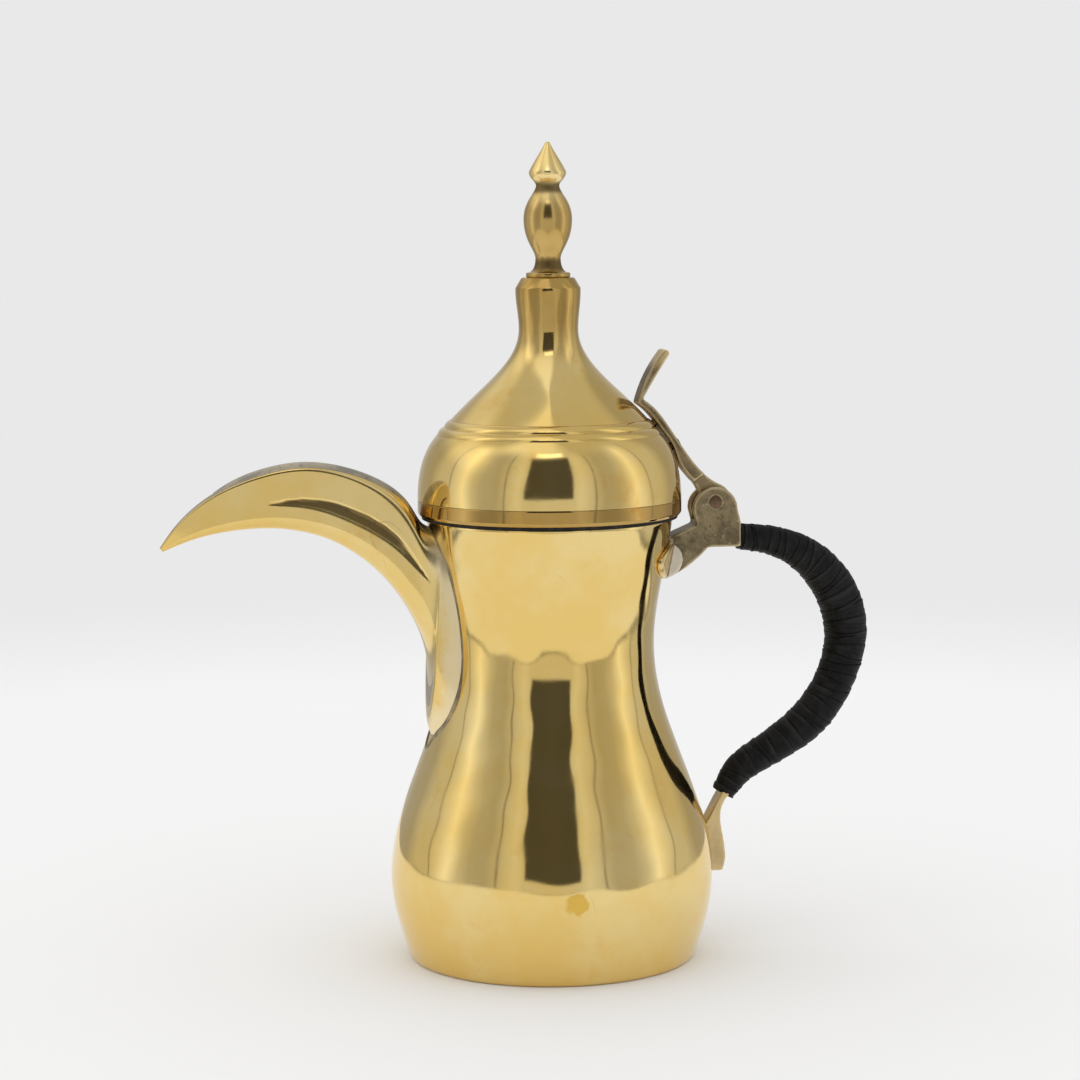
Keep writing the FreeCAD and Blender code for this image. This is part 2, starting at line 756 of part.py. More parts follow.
pieces = {
    "belly_shell": belly_shell,
    "neck_shell": neck_shell,
    "base_disc": base_disc,
    "spout_beak": spout_beak,
    "spout_cover": spout_cover,
    "handle_casting": handle_casting,
    "foot_rivets": foot_rivets,
    "tail_rivet": tail_rivet,
    "grip_padding": grip_padding,
    "grip_winding": grip_winding,
    "hinge_pin": hinge_pin,
    "lid_dome": lid_dome,
    "lid_band": band_ring(),
    "lid_seat_ring": seat_ring(),
    "finial": finial_knob(),
    "finial_washer": finial_washer,
    "finial_nut": finial_nut,
    "hinge_strap": hinge_strap,
    "strap_rivets": strap_rivets,
}

os.makedirs("parts", exist_ok=True)
for name, shape in pieces.items():
    solids = shape.Solids
    print(name, "solids", len(solids), "valid", shape.isValid(), "volume", round(shape.Volume, 1))
    shape.exportStep("parts/" + name + ".step")
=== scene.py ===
import bmesh
import bpy
import numpy as np
from mathutils import Matrix


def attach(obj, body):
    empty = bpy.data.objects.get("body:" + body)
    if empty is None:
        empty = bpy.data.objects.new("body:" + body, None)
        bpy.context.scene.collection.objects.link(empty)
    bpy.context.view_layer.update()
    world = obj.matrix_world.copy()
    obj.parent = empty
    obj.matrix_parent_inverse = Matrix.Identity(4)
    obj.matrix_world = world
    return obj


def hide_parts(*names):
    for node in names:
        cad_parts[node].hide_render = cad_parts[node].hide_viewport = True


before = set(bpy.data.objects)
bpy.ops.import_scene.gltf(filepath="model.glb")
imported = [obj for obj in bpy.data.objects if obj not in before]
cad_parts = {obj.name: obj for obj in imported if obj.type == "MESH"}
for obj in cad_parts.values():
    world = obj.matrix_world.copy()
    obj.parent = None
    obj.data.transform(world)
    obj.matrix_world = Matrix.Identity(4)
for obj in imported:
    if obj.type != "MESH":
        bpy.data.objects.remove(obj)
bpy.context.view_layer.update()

# Viewpoint: a long lens a little above the pot's middle height, nine degrees round
# towards the spout, tipped down and rolled by less than half a degree.
view_turn, view_tip, view_roll = np.radians((-9.0, 6.52, -0.378))
view_distance, view_shift, view_height = 1.1501, -0.003597, 0.28616
sideways = np.array((np.cos(view_turn), np.sin(view_turn), 0.0))
ahead = np.array((-np.sin(view_turn), np.cos(view_turn), 0.0))
upward = np.array((0.0, 0.0, 1.0))
sight = ahead * np.cos(view_tip) - upward * np.sin(view_tip)
lift = ahead * np.sin(view_tip) + upward * np.cos(view_tip)
right_edge = sideways * np.cos(view_roll) + lift * np.sin(view_roll)
top_edge = lift * np.cos(view_roll) - sideways * np.sin(view_roll)
stand_point = -ahead * view_distance + sideways * view_shift + upward * view_height
lens = bpy.data.cameras.new("viewpoint")
lens.lens = 105.0
lens.sensor_width = 36.0
viewpoint = bpy.data.objects.new("viewpoint", lens)
viewpoint.matrix_world = Matrix([(*row, place) for *row, place in np.column_stack(
    (right_edge, top_edge, -sight, stand_point)).tolist()] + [(0.0, 0.0, 0.0, 1.0)])
bpy.context.collection.objects.link(viewpoint)
bpy.context.scene.camera = viewpoint
bpy.context.scene.view_settings.view_transform = "Standard"


# White cloth tent round the pot with a narrow dark opening on the viewer's side, sewn seams
# beside it and a lamp over it. Bare metal mirrors it, all else is lit evenly by plain white.


class Socket:
    """Output of a shader node. Arithmetic on it adds Math nodes, make() any other node."""

    def __init__(self, tree, source=None):
        self.tree = tree
        self.source = source

    def make(self, kind, settings=(), sockets=(), out=0):
        """Add a node of that type, set its settings first, then its sockets' values or links."""
        node = self.tree.nodes.new("ShaderNode" + kind)
        for name, value in dict(settings).items():
            if name == "stops":
                ramp = node.color_ramp.elements
                while len(ramp) < len(value):
                    ramp.new(0.5)
                for stop, (position, tone) in zip(ramp, value):
                    stop.position = position
                    stop.color = (*np.broadcast_to(tone, 3).tolist(), 1.0)
            else:
                setattr(node, name, value)
        for key, value in dict(sockets).items():
            if isinstance(value, Socket):
                self.tree.links.new(value.source, node.inputs[key])
            else:
                node.inputs[key].default_value = value
        return Socket(self.tree, node.outputs[out] if len(node.outputs) else None)

    def math(self, operation, *values):
        return self.make("Math", {"operation": operation}, enumerate(values))

    def __add__(self, other):
        return self.math("ADD", self, other)

    def __sub__(self, other):
        return self.math("SUBTRACT", self, other)

    def __rsub__(self, other):
        return self.math("SUBTRACT", other, self)

    def __mul__(self, other):
        return self.math("MULTIPLY", self, other)

    def __truediv__(self, other):
        return self.math("DIVIDE", self, other)

    __radd__ = __add__
    __rmul__ = __mul__


def ramped(value, low, high):
    """Smooth step of a value from 0 at low to 1 at high; low may be the greater of the two."""
    return value.make("MapRange", {"interpolation_type": "SMOOTHSTEP"},
                      {"Value": value, "From Min": low, "From Max": high})


def blended(share, first, second):
    """Colour between two colours or colour sockets, by a share."""
    return share.make("Mix", {"data_type": "RGBA"}, {0: share, 6: first, 7: second}, 2)


def along(direction, vector):
    """Length of a direction socket along a fixed vector."""
    return direction.make("VectorMath", {"operation": "DOT_PRODUCT"},
                          {0: direction, 1: vector.tolist()}, "Value")


tent = bpy.data.worlds.new("white_tent")
bpy.context.scene.world = tent
tent.use_nodes = True
tent.cycles.sampling_method = "NONE"
tent.node_tree.nodes.clear()
cloth = Socket(tent.node_tree)
gaze = cloth.make("TexCoord", out="Generated")
degrees = 57.29578
bearing = cloth.math("ARCTAN2", along(gaze, sideways), along(gaze, -ahead)) * degrees
height = cloth.math("ARCSINE", along(gaze, upward)) * degrees
swing = cloth.math("ABSOLUTE", bearing)
# Share of half a turn away from the viewer, and the brightness of the cloth there.
cloth_tones = [
    (0.000, 0.095), (0.110, 0.085), (0.118, 0.70), (0.150, 0.78), (0.200, 0.66), (0.216, 0.60), (0.222, 0.16),
    (0.228, 0.58), (0.270, 0.47), (0.345, 0.50), (0.395, 0.66), (0.455, 1.08), (0.500, 0.86), (0.546, 0.68),
    (0.552, 0.25), (0.558, 0.64), (0.640, 0.62), (0.720, 0.42), (0.830, 0.42), (1.000, 0.62)]
walls = cloth.make("ValToRGB", {"stops": cloth_tones}, {0: swing / 180.0})
walls = cloth.make("RGBToBW", (), {0: walls})
opening = ramped(height, 2.8, 4.0) * (1.0 - ramped(height, 46.0, 50.0))
walls = walls + (1.0 - opening) * (1.0 - ramped(swing, 19.8, 21.2)) * 0.60
walls = walls + ramped(height, 16.0, 36.0) * ramped(0.0 - bearing, 50.0, 85.0) * 0.34
roof = ramped(height, 42.0, 62.0)
lamp_side = 1.0 - ramped(cloth.math("ABSOLUTE", bearing + 28.0), 24.0, 62.0)
walls = walls * (1.0 - roof) + roof * (0.58 + lamp_side * 0.42)
lamp = ramped(height, 49.0, 50.5) * (1.0 - ramped(height, 55.0, 57.5)) * (1.0 - ramped(swing, 13.0, 18.0))
walls = walls + lamp * 0.9
seen = cloth.make("LightPath", out="Is Camera Ray")
mirrored = cloth.make("LightPath", out="Is Glossy Ray")
backdrop = 0.815
level = seen * backdrop + mirrored * walls + (1.0 - seen) * (1.0 - mirrored)
lit = cloth.make("Background", (), {"Color": (1.0, 1.0, 1.0, 1.0), "Strength": level})
cloth.make("OutputWorld", (), {"Surface": lit})


# Table top: smooth white paper that fades into the backdrop. In the metal's mirror it ends
# in an uneven fold, half a metre to most of a metre away, where the tent's cloth begins, with a dark line of
# painted shade along the fold.
MM = 0.001


def grid_faces(rows, columns, wrap_rows=False, wrap_columns=False):
    """Quads between neighbouring points of a grid of rows and columns, closed where it wraps."""
    index = np.arange(rows * columns).reshape(rows, columns)
    if wrap_rows:
        index = np.vstack((index, index[:1]))
    if wrap_columns:
        index = np.column_stack((index, index[:, :1]))
    corners = (index[:-1, :-1], index[:-1, 1:], index[1:, 1:], index[1:, :-1])
    return np.stack(corners, axis=-1).reshape(-1, 4)


def shape(name, points, faces, sharp=40.0, **marks):
    """Mesh object at the origin from points in millimetres, smooth but for edges over an angle."""
    mesh = bpy.data.meshes.new(name)
    mesh.from_pydata(np.asarray(points, float).reshape(-1, 3) * MM, [], faces)
    mesh.validate()
    mesh.shade_smooth()
    mesh.set_sharp_from_angle(angle=np.radians(sharp))
    for mark, values in marks.items():
        layer = mesh.attributes.new(mark, "FLOAT", "POINT")
        layer.data.foreach_set("value", np.ravel(values).astype(np.float32))
    piece = bpy.data.objects.new(name, mesh)
    bpy.context.collection.objects.link(piece)
    return piece


def recipe(name):
    """New material and the start of its node tree."""
    material = bpy.data.materials.new(name)
    material.use_nodes = True
    material.node_tree.nodes.clear()
    return material, Socket(material.node_tree)


def clouds(start, place, scale, detail=4.0, roughness=0.6):
    """Cloudy noise around one half; scale is the number of its largest clouds to a metre."""
    return start.make("TexNoise", (), {
        "Vector": place, "Scale": scale, "Detail": detail, "Roughness": roughness})


paper, start = recipe("table_paper")
place = start.make("TexCoord", out="Object")
reach = start.make("VectorMath", {"operation": "LENGTH"}, {0: place}, "Value")
away = ramped(reach, 0.55, 1.05)
side = start.math("ARCTAN2", along(place, sideways), along(place, -ahead)) * degrees
side = start.math("ABSOLUTE", side)
crumple = clouds(start, place, 9.0, 3.0)
fold_near, fold_reach = 0.50, 0.30
fold = fold_near + (ramped(side, 2.0, 34.0) - ramped(side, 42.0, 96.0)) * fold_reach + crumple * 0.08
fold_gap = reach - fold
mirrored = start.make("LightPath", out="Is Glossy Ray")
# Painted shade: the paper's colour turns dark along the fold, only where the metal mirrors it.
crease = (1.0 - ramped(start.math("ABSOLUTE", fold_gap + 0.03), 0.005, 0.04)) * mirrored
paper_white = blended(clouds(start, place, 3.0), (0.930, 0.930, 0.932, 1.0), (0.945, 0.945, 0.945, 1.0))
sheet = start.make("BsdfPrincipled", (), {
    "Base Color": blended(crease * 0.8, paper_white, (0.06, 0.06, 0.06, 1.0)), "Roughness": 0.8})
glow = start.make("Emission", (), {"Color": (backdrop, backdrop, backdrop, 1.0)})
far = start.make("LightPath", out="Is Camera Ray") * away
surface = start.make("MixShader", (), {0: far, 1: sheet, 2: glow})
beyond = mirrored * ramped(fold_gap, -0.01, 0.01)
surface = start.make("MixShader", (), {0: beyond, 1: surface, 2: start.make("BsdfTransparent")})
start.make("OutputMaterial", (), {"Surface": surface})
table_radius, table_rings, table_spokes = 1200.0, 24, 64
ring, angle = np.meshgrid(table_radius * np.linspace(0.0, 1.0, table_rings)**2,
                          np.linspace(0.0, 2 * np.pi, table_spokes, endpoint=False), indexing="ij")
table_top = shape("table_top", np.stack((ring * np.cos(angle), ring * np.sin(angle), 0.0 * ring), -1),
                  grid_faces(table_rings, table_spokes, wrap_columns=True)[:, ::-1])
table_top.data.materials.append(paper)


# Body: one pear-shaped vessel raised from sheet brass 1.2 mm thick, planished by hand so
# that its mirror wavers a little, open at the top and with a window behind the spout.


def outward(points, faces):
    """Faces turned so that the closed surface holds a positive volume."""
    a, b, c, d = (points[faces[:, k]] for k in range(4))
    volume = np.einsum("ij,ij->", np.cross(a, b), c) + np.einsum("ij,ij->", np.cross(a, c), d)
    return faces if volume > 0 else faces[:, ::-1]


def closed(name, points, faces, sharp=40.0, **marks):
    """Mesh object of a closed surface with its faces looking outwards."""
    return shape(name, points, outward(points.reshape(-1, 3), faces), sharp, **marks)


def fitted(piece, body, slot, finish, *nodes):
    """Give a piece its finish and the body it moves with, and hide the nodes that it stands for."""
    piece.data.materials.clear()
    piece.data.materials.append(finish)
    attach(piece, body)
    if nodes:
        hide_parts(*nodes)


def marked(start, name):
    """Value that a mesh carries at each of its points under a name."""
    return start.make("Attribute", {"attribute_name": name}, (), "Fac")


def polished_brass(name, tarnish=0.5, stain=None, grime_and_painted_shade=None, haze=None, tinned=None, browned=None,
                   shade=(1.0, 1.0, 1.0), satin=0.0):
    """Hand-polished sheet brass: gold with orange and pale clouds, faint wiping marks and dull spots.
    stain is the place of a blot and browned the two heights between which the metal turns brown;
    grime_and_painted_shade, haze and tinned name the marks for darkening (dirt in the finial's hollows,
    painted shade in the spout's crescents), for the distance from a soldered root and for tin."""
    material, start = recipe(name)
    place = start.make("TexCoord", out="Object")
    drift = clouds(start, place, 21.0, 5.0, 0.62)
    patch = clouds(start, place, 64.0, 6.0, 0.66)
    fleck = clouds(start, place, 420.0, 3.0, 0.7)
    gold = tuple(np.multiply((0.835, 0.590, 0.190), shade)) + (1.0,)
    pale = tuple(np.multiply((0.855, 0.660, 0.285), shade)) + (1.0,)
    amber = tuple(np.multiply((0.79, 0.485, 0.130), shade)) + (1.0,)
    colour = blended(ramped(drift, 0.40, 0.66), gold, pale)
    warm = ramped(patch, 0.56, 0.76) * tarnish
    colour = blended(warm, colour, amber)
    spots = ramped(fleck, 0.70, 0.80) * ramped(drift, 0.50, 0.62) * (0.55 * tarnish)
    colour = blended(spots, colour, (0.30, 0.18, 0.055, 1.0))
    dull = 0.055 + satin + ramped(patch, 0.42, 0.78) * 0.075 + spots * 0.22
    if stain:
        spread = start.make("VectorMath", {"operation": "DISTANCE"}, {0: place, 1: stain}, "Value") * 1000.0
        ragged = clouds(start, place, 230.0, 3.0)
        blot = 1.0 - ramped(spread + ragged * 7.5, 6.6, 8.2)
        colour = blended(blot * 0.8, colour, (0.70, 0.43, 0.06, 1.0))
        dull = dull + blot * 0.10
    if browned:
        z = along(place, upward)
        colour = blended(ramped(z, *browned) * (0.45 + patch * 0.6), colour, (0.47, 0.29, 0.075, 1.0))
    if grime_and_painted_shade:
        # The darkening mark is dirt in the finial's hollows and painted shade in the spout's crescents.
        dirt = marked(start, grime_and_painted_shade)
        dirt = ramped(dirt + (patch - 0.5) * 0.5, 0.25, 0.95)
        colour = blended(dirt * 0.85, colour, (0.115, 0.075, 0.030, 1.0))
        dull = dull + dirt * 0.28
    if haze:
        near = marked(start, haze)
        near = 1.0 - ramped(near + (patch - 0.5) * 18.0, 2.0, 12.0)
        colour = blended(near * 0.7, colour, (0.96, 0.84, 0.58, 1.0))
        colour = blended(near * ramped(patch, 0.645, 0.70) * 0.7, colour, (0.14, 0.11, 0.07, 1.0))
        dull = dull + near * 0.26
    if tinned:
        lip = marked(start, tinned)
        lip = ramped(lip + (patch - 0.5) * 0.5, 0.2, 0.7)
        colour = blended(lip * 0.9, colour, (0.46, 0.41, 0.31, 1.0))
        dull = dull + lip * 0.2
    thread = start.math("ABSOLUTE", clouds(start, place, 15.0, 1.0) - 0.5)
    scratch = (1.0 - ramped(thread, 0.0004, 0.0013)) * ramped(drift, 0.50, 0.60) * ramped(patch, 0.48, 0.56)
    colour = blended(scratch * 0.32, colour, (0.30, 0.19, 0.06, 1.0))
    wiped = start.make("Mapping", (), {"Vector": place, "Scale": (900.0, 900.0, 5200.0)})
    rub = clouds(start, wiped, 1.0, 2.0)
    relief = start.make("Bump", (), {"Strength": 0.10, "Distance": 0.00004, "Height": rub + fleck * 0.6})
    metal = start.make("BsdfPrincipled", (), {
        "Base Color": colour, "Metallic": 1.0, "Roughness": dull, "Normal": relief})
    start.make("OutputMaterial", (), {"Surface": metal})
    return material


wall, rim_round = 1.2, 0.35
base_disc_radius = 44.0
foot_radius = 49.6
foot_knot, belly_knot = (53.9, 3.5, 0.36), (59.6, 31.0, 0.0)
waist_knot, rim_knot = (38.1, 115.0, 0.0), (45.2, 163.0, 0.16)
body_knots = np.array((foot_knot, belly_knot, waist_knot, rim_knot))
rim_radius, rim_height = body_knots[-1, :2]


def body_radius(z):
    """Outside radius at heights z: cubic pieces through (radius, height, slope) knots, each worked out
    as a Hermite blend of its two ends in the share of the height between them."""
    low = np.clip(np.searchsorted(body_knots[:, 1], z) - 1, 0, len(body_knots) - 2)
    (r0, z0, m0), (r1, z1, m1) = (np.moveaxis(body_knots[low + k], -1, 0) for k in (0, 1))
    span = z1 - z0
    t = (z - z0) / span
    return (r0 * (1 + 2 * t) * (1 - t)**2 + m0 * span * t * (1 - t)**2
            + r1 * t * t * (3 - 2 * t) - m1 * span * t * t * (1 - t))


def bowed(a, b, c, d, count):
    """Points of the cubic curve with the four poles a, b, c and d, at evenly spaced shares t."""
    t = np.linspace(0.0, 1.0, count)[:, None]
    return a * (1 - t)**3 + 3 * b * t * (1 - t)**2 + 3 * c * t * t * (1 - t) + d * t**3


def evenly(line, count):
    """The same line with its points evenly spaced by length."""
    run = np.insert(np.cumsum(np.linalg.norm(np.diff(line, axis=0), axis=1)), 0, 0.0)
    places = np.linspace(0.0, run[-1], count)
    return np.column_stack([np.interp(places, run, values) for values in line.T])


def turned(outline, columns):
    """An (r, z) outline turned about Z: x = r cos a, y = r sin a at evenly spaced angles a."""
    a = np.linspace(0.0, 2 * np.pi, columns, endpoint=False)
    r, z = (values[:, None] for values in np.asarray(outline).T)
    return np.stack((r * np.cos(a), r * np.sin(a), z + 0.0 * a), axis=-1)


def foot_curve(inset, floor, count):
    """Quarter round from the flat underside up to the first knot of the wall."""
    foot = np.array((foot_radius - inset / 2, floor))
    first = np.array((foot_knot[0] - inset, foot_knot[1]))
    corner = np.array((first[0] - foot_knot[2] * (first[1] - floor), floor))
    return bowed(foot, corner, corner, first, count)


def waver(points, depth):
    """Planishing marks: a few long waves in angle and height push the points along their radius."""
    x, y, z = np.moveaxis(points, -1, 0)
    a = np.arctan2(y, x)
    push = (np.sin(5 * a + 0.071 * z + 0.4) + 0.8 * np.sin(9 * a - 0.113 * z + 2.0)
            + 0.7 * np.sin(3 * a + 0.197 * z) + 0.45 * np.sin(16 * a + 0.26 * z + 1.0)
            + 0.35 * np.sin(13 * a - 0.41 * z))
    scale = 1.0 + depth * push / np.maximum(np.hypot(x, y), 1.0)
    return points * np.stack((scale, scale, np.ones_like(scale)), axis=-1)


heights = np.linspace(foot_knot[1], rim_height - rim_round, 700)
outside = np.vstack((foot_curve(0.0, 0.0, 30), np.column_stack((body_radius(heights), heights))[1:]))
outside = evenly(outside, 210)
heights = np.linspace(rim_height - rim_round, foot_knot[1], 300)
inside = np.vstack((np.column_stack((body_radius(heights) - wall, heights)),
                    foot_curve(wall, wall, 12)[::-1][1:]))
inside = evenly(inside, 70)
lip = [(rim_radius - 0.12, rim_height - 0.10), (rim_radius - 0.4, rim_height),
       (rim_radius - wall + 0.4, rim_height), (rim_radius - wall + 0.12, rim_height - 0.10)]
seat = base_disc_radius + 0.05
outline = np.vstack(([(seat, 0.0)], outside, lip, inside, [(seat, wall)]))
body_points = waver(turned(outline, 288), 0.05)
body_blank = closed("body_blank", body_points, grid_faces(*body_points.shape[:2], True, True))

window_half, window_high, window_low = 7.0, 145.0, 124.0
window_points = 48
turn = np.linspace(0.0, 2 * np.pi, window_points, endpoint=False)
window_rise = np.where(np.cos(turn) > 0, window_high, window_low) + window_half * np.cos(turn)
window_edge = np.column_stack((window_half * np.sin(turn), window_rise))
middle = np.array((0.0, (window_high + window_low) / 2))
window_ring = middle + (window_edge - middle) * np.array((1e-3, 1.0, 1.0, 1e-3))[:, None, None]
cutter_depth = -np.array((30.0, 30.0, 52.0, 52.0))[:, None, None]
cutter_points = np.concatenate((np.broadcast_to(cutter_depth, (4, window_points, 1)), window_ring), axis=-1)
window_cutter = closed("window_cutter", cutter_points, grid_faces(4, window_points, wrap_columns=True))


def settled(form, name):
    """Mesh of a form with its modifiers worked in, as a new object; the form is removed."""
    graph = bpy.context.evaluated_depsgraph_get()
    mesh = bpy.data.meshes.new_from_object(form.evaluated_get(graph), depsgraph=graph)
    mesh.name = name
    bpy.data.objects.remove(form)
    piece = bpy.data.objects.new(name, mesh)
    bpy.context.collection.objects.link(piece)
    return piece


cut = body_blank.modifiers.new("window", "BOOLEAN")
cut.operation = "DIFFERENCE"
cut.object = window_cutter
body = settled(body_blank, "pot_body")
bpy.data.objects.remove(window_cutter)
body.data.set_sharp_from_angle(angle=np.radians(40.0))
body_brass = polished_brass("body_brass", 0.42, stain=(-0.0004, -0.0596, 0.0316))
fitted(body, "pot", "brass_polished", body_brass, "belly_shell", "neck_shell")

# Base disc: a flat round of the same sheet brass, let into the bottom of the body and soldered
# there. It is a little duller than the wall, because the pot stands and slides on it.


def painted(finish, *nodes):
    """Give solids that show as they are their finish."""
    for node in nodes:
        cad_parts[node].data.materials.clear()
        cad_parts[node].data.materials.append(finish)


painted(polished_brass("base_brass", 0.8, shade=(0.86, 0.84, 0.80)), "base_disc")

# Spout: a tapering beak bent up from sheet, round below and open above, with a crescent pressed
# into each cheek, soldered to the neck along its root. Stations from the tip inwards: distance out
# from the rim and rise over it of the keel, the same of the lip, half-widths at cheek and lip.
spout_stations = np.array((
    (96.2, -9.2, 97.2, -7.8, 0.9, 0.6),
    (84.4, -4.8, 90.0, 1.4, 2.6, 2.2),
    (71.0, -2.2, 77.5, 11.2, 4.1, 3.6),
    (56.0, -1.6, 59.5, 18.4, 5.2, 4.5),
    (42.0, -4.0, 42.0, 20.5, 5.9, 5.0),
    (30.0, -9.2, 25.5, 17.0, 6.8, 5.2),
    (18.2, -18.4, 13.4, 11.0, 8.2, 5.2),
    (8.6, -30.6, 6.4, 4.0, 10.2, 5.0),
    (1.8, -45.6, 2.0, -2.6, 12.2, 4.8),
    (0.0, -62.0, -2.6, -4.4, 13.8, 4.5),
    (0.2, -77.0, -7.0, -5.2, 14.9, 4.2),
    (-8.0, -89.0, -22.0, -6.0, 15.7, 3.8)))
keel_girth, cheek_girth, lip_from, lip_girth = 0.42, 0.33, 0.75, 0.25


def spline(knots, values, at):
    """Cubic spline through values at knots, unbent at both ends: the slopes come from one solve of the
    equations that keep the bend continuous, then each piece is a Hermite blend."""
    step = np.diff(knots)
    size = len(knots)
    rule = np.zeros((size, size))
    rule[0, :2] = 2.0, 1.0
    rule[-1, -2:] = 1.0, 2.0
    inner = np.arange(1, size - 1)
    rule[inner, inner - 1] = 1.0 / step[:-1]
    rule[inner, inner] = 2.0 / step[:-1] + 2.0 / step[1:]
    rule[inner, inner + 1] = 1.0 / step[1:]
    rate = np.diff(values, axis=0) / step[:, None]
    pull = np.empty_like(values)
    pull[0], pull[-1] = 3 * rate[0], 3 * rate[-1]
    pull[1:-1] = 3 * (rate[:-1] / step[:-1, None] + rate[1:] / step[1:, None])
    slope = np.linalg.solve(rule, pull)
    k = np.clip(np.searchsorted(knots, at) - 1, 0, size - 2)
    h = step[k][..., None]
    t = (at - knots[k])[..., None] / h
    return (values[k] * (1 + 2 * t) * (1 - t)**2 + slope[k] * h * t * (1 - t)**2
            + values[k + 1] * t * t * (3 - 2 * t) - slope[k + 1] * h * t * t * (1 - t))


def spout_at(station, girth, inset=0.0):
    """Point of the beak at a station number and a girth from -1 (one lip) over 0 (keel) to 1 (other lip).
    The section is a quarter ellipse from keel to cheek, an upright cheek and a quarter ellipse to the lip."""
    keel_out, keel_rise, top_out, top_rise, cheek, top_half = np.moveaxis(
        spline(np.arange(len(spout_stations)) * 1.0, spout_stations, station), -1, 0)
    dx, dz = keel_out - top_out, top_rise - keel_rise
    tall = np.hypot(dx, dz)
    bend = np.minimum(cheek * (1.0 + 0.7 * np.clip(station - 7.0, 0.0, 2.0) / 2.0), 0.45 * tall)
    crown = tall - inset
    shoulder = np.maximum(crown - 1.5 * (cheek - top_half), bend)
    half, lip = np.maximum(cheek - inset, 0.05), np.maximum(top_half - inset, 0.04)
    q = np.abs(girth)
    low = np.clip(q / keel_girth, 0.0, 1.0) * np.pi / 2
    upright = np.clip((q - keel_girth) / cheek_girth, 0.0, 1.0)
    high = np.clip((q - lip_from) / lip_girth, 0.0, 1.0) * np.pi / 2
    width = half * np.sin(low) - (half - lip) * (1 - np.cos(high))
    rise = (inset + (bend - inset) * (1 - np.cos(low)) + (shoulder - bend) * upright
            + (crown - shoulder) * np.sin(high))
    return np.stack((-(rim_radius + keel_out) + dx / tall * rise, np.sign(girth) * width,
                     rim_height + keel_rise + dz / tall * rise), axis=-1)


def root_station(girth, place_of, first=3.0, sunk=0.25):
    """Station at which each line of equal girth has sunk that far into the body, found on a fine row of
    stations that starts well outside it."""
    trial = np.linspace(first, len(spout_stations) - 1.0, 900)[:, None] + 0.0 * girth
    x, y, z = np.moveaxis(place_of(trial, girth + 0.0 * trial), -1, 0)
    clear = np.hypot(x, y) - body_radius(np.minimum(z, rim_height)) + sunk
    hit = np.argmax(clear < 0, axis=0)
    column = np.arange(len(girth))
    a, b = clear[hit - 1, column], clear[hit, column]
    return trial[hit - 1, column] + (trial[hit, column] - trial[hit - 1, column]) * a / (a - b)


flute_edge = np.array(((-104.5, 171.0), (-89.0, 172.6), (-74.3, 169.3),
                       (-61.7, 162.7), (-53.2, 154.2), (-45.6, 141.8)))
flute_width, flute_depth = 5.0, 1.5


def fluted(points):
    """Press the crescent into both cheeks: below its upper edge the cheek drops steeply, then comes
    back over the crescent's width, which swells and fades along the edge as a half sine. Also gives the
    painted shade in it, less towards the root."""
    last = len(flute_edge) - 1.0
    t = np.linspace(0.0, last, 160)
    line = spline(np.arange(last + 1.0), flute_edge, t)
    ahead_of = np.gradient(line, axis=0)
    ahead_of /= np.linalg.norm(ahead_of, axis=1)[:, None]
    flat = points[..., (0, 2)].reshape(-1, 2)
    gap = flat[:, None, :] - line[None]
    near = np.argmin(np.einsum("ijk,ijk->ij", gap, gap), axis=1)
    offset = gap[np.arange(len(flat)), near]
    below = ahead_of[near, 1] * offset[:, 0] - ahead_of[near, 0] * offset[:, 1]
    swell = np.sin(np.pi * t[near] / last)
    share = np.clip(below / (flute_width * swell**0.7 + 0.05), 0.0, 1.0)
    drop = np.clip(share / 0.30, 0.0, 1.0)
    drop = drop * drop * (3 - 2 * drop)
    press = np.where(below > 0, drop * (1 - share), 0.0) * swell**0.6 * flute_depth
    press = press.reshape(points.shape[:-1])
    # Painted shade: a dark band over the crescent below its upper edge, less towards the root.
    flute_shade = np.clip(below / 0.5, 0.0, 1.0) * np.clip((1 - share) / 0.25, 0.0, 1.0)
    flute_shade = flute_shade * np.clip(swell / 0.3, 0.0, 1.0)
    flute_shade = flute_shade * (1.0 - 0.55 * np.clip((t[near] / last - 0.70) / 0.12, 0.0, 1.0))
    pressed = points.copy()
    pressed[..., 1] -= np.sign(points[..., 1]) * np.minimum(press, np.abs(points[..., 1]) * 0.6)
    return pressed, flute_shade.reshape(press.shape)


def tube_faces(rows, half):
    """Quads of a tube of closed loops, each of twice half points. Both ends are shut by joining the first
    half of the end loop to its second half."""
    j = np.arange(half - 1)
    end = np.column_stack((j, j + 1, 2 * half - 2 - j, 2 * half - 1 - j))
    side = grid_faces(rows, 2 * half, wrap_columns=True)
    return np.vstack((side, end[:, ::-1], (rows - 1) * 2 * half + end))


rows, half = 240, 161
girth = np.linspace(-1.0, 1.0, half)
outer_end = root_station(girth, spout_at)
inner_end = root_station(girth, lambda s, g: spout_at(s, g, wall))
share = np.linspace(0.0, 1.0, rows)[:, None]
beak_outside, flute_shade = fluted(spout_at(share * outer_end, girth + 0.0 * share))
station = share * inner_end
trough = spout_at(station, girth + 0.0 * share, wall)
brim = spout_at(station, np.sign(girth) * np.ones_like(station))
brim[..., 1] = trough[..., 1]
deep = np.clip((station - 0.55) / 0.7, 0.0, 1.0)
deep = (deep * deep * (3 - 2 * deep))[..., None]
beak_inside = brim + (trough - brim) * deep
beak_points = np.concatenate((beak_outside, beak_inside[:, ::-1]), axis=1)
root_gap = np.concatenate((np.linalg.norm(beak_outside - beak_outside[-1:], axis=-1),
                           np.full((rows, half), 60.0)), axis=1)
flute_mark = np.concatenate((flute_shade, np.zeros((rows, half))), axis=1)
brink = np.clip((np.abs(girth) - 0.90) / 0.06, 0.0, 1.0)
